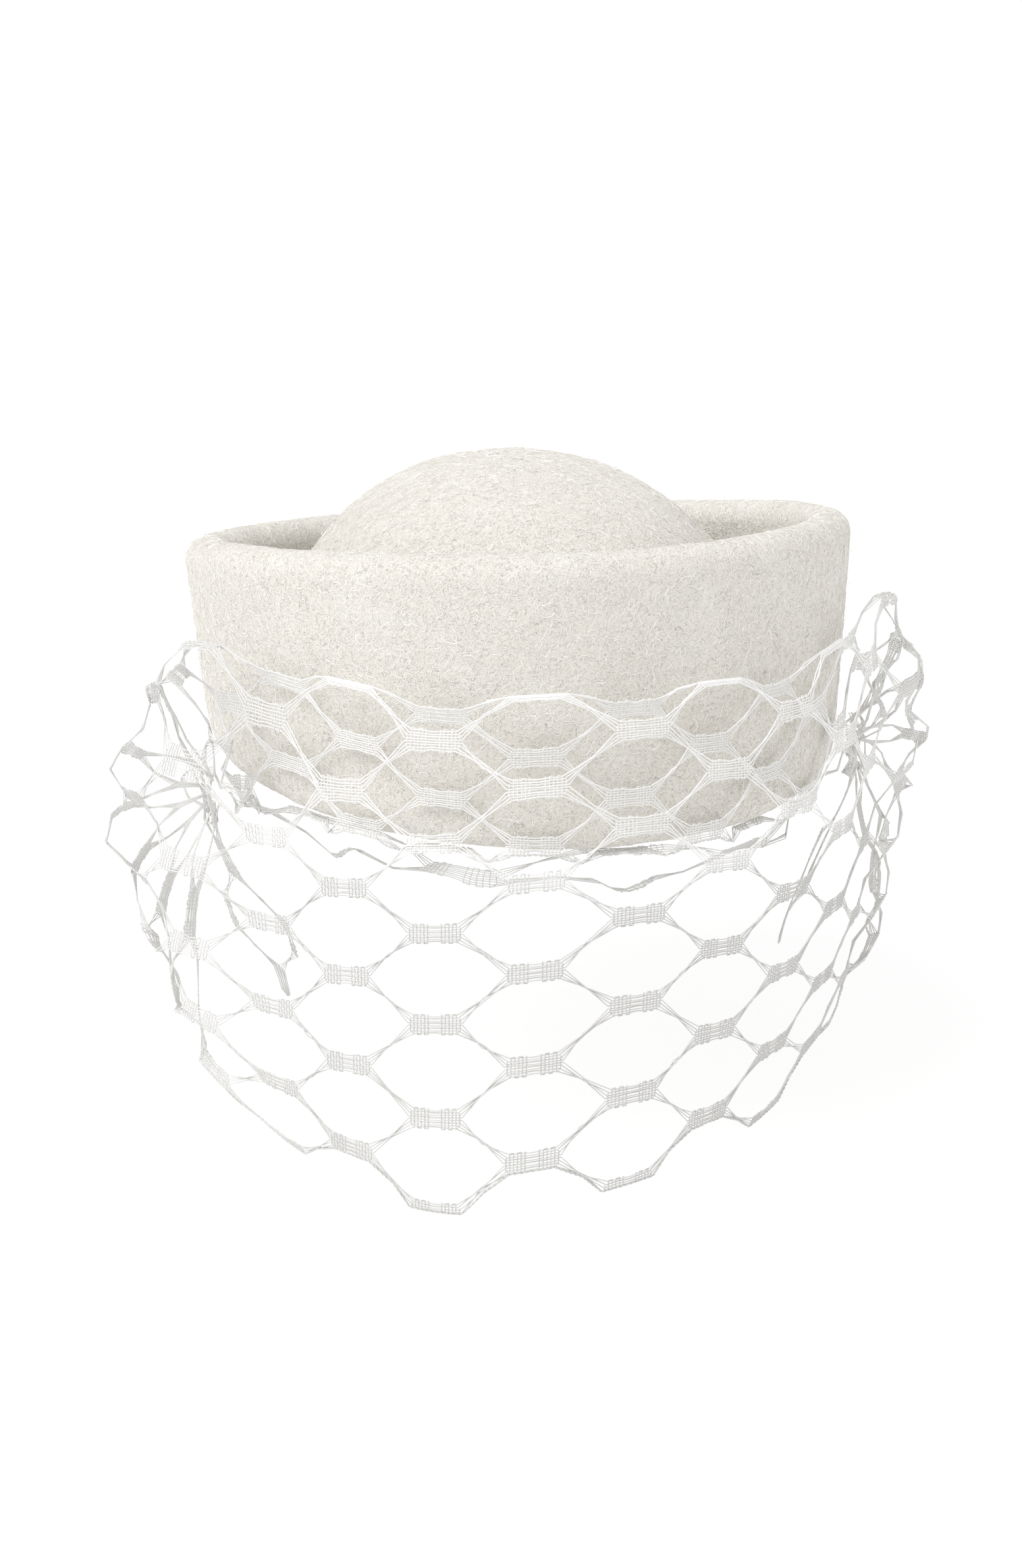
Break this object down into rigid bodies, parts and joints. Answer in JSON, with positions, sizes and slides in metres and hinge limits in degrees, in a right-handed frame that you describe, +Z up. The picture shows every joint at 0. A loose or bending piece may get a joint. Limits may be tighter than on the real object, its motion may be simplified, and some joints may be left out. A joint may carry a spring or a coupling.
{
  "type": "felt pillbox hat with netting veil",
  "caption": "Felt hat with a domed crown, a tall turned-up brim and a coarse net veil folded up in front and gathered at the sides.",
  "frame": {"origin": "middle of the head opening, in the plane of the brim's base edge", "axes": "+Z up through the crown, -Y out of the hat's front, +X to the right in a front view"},
  "size_m": [0.2697, 0.2525, 0.2054],
  "materials": {
    "ivory_felt": "ivory wool felt with short pale surface fibres",
    "white_net": "white cotton and viscose veiling threads"
  },
  "bodies": {
    "root": {"felt_hood": "ivory_felt", "veil": "white_net"}
  },
  "joints": []
}
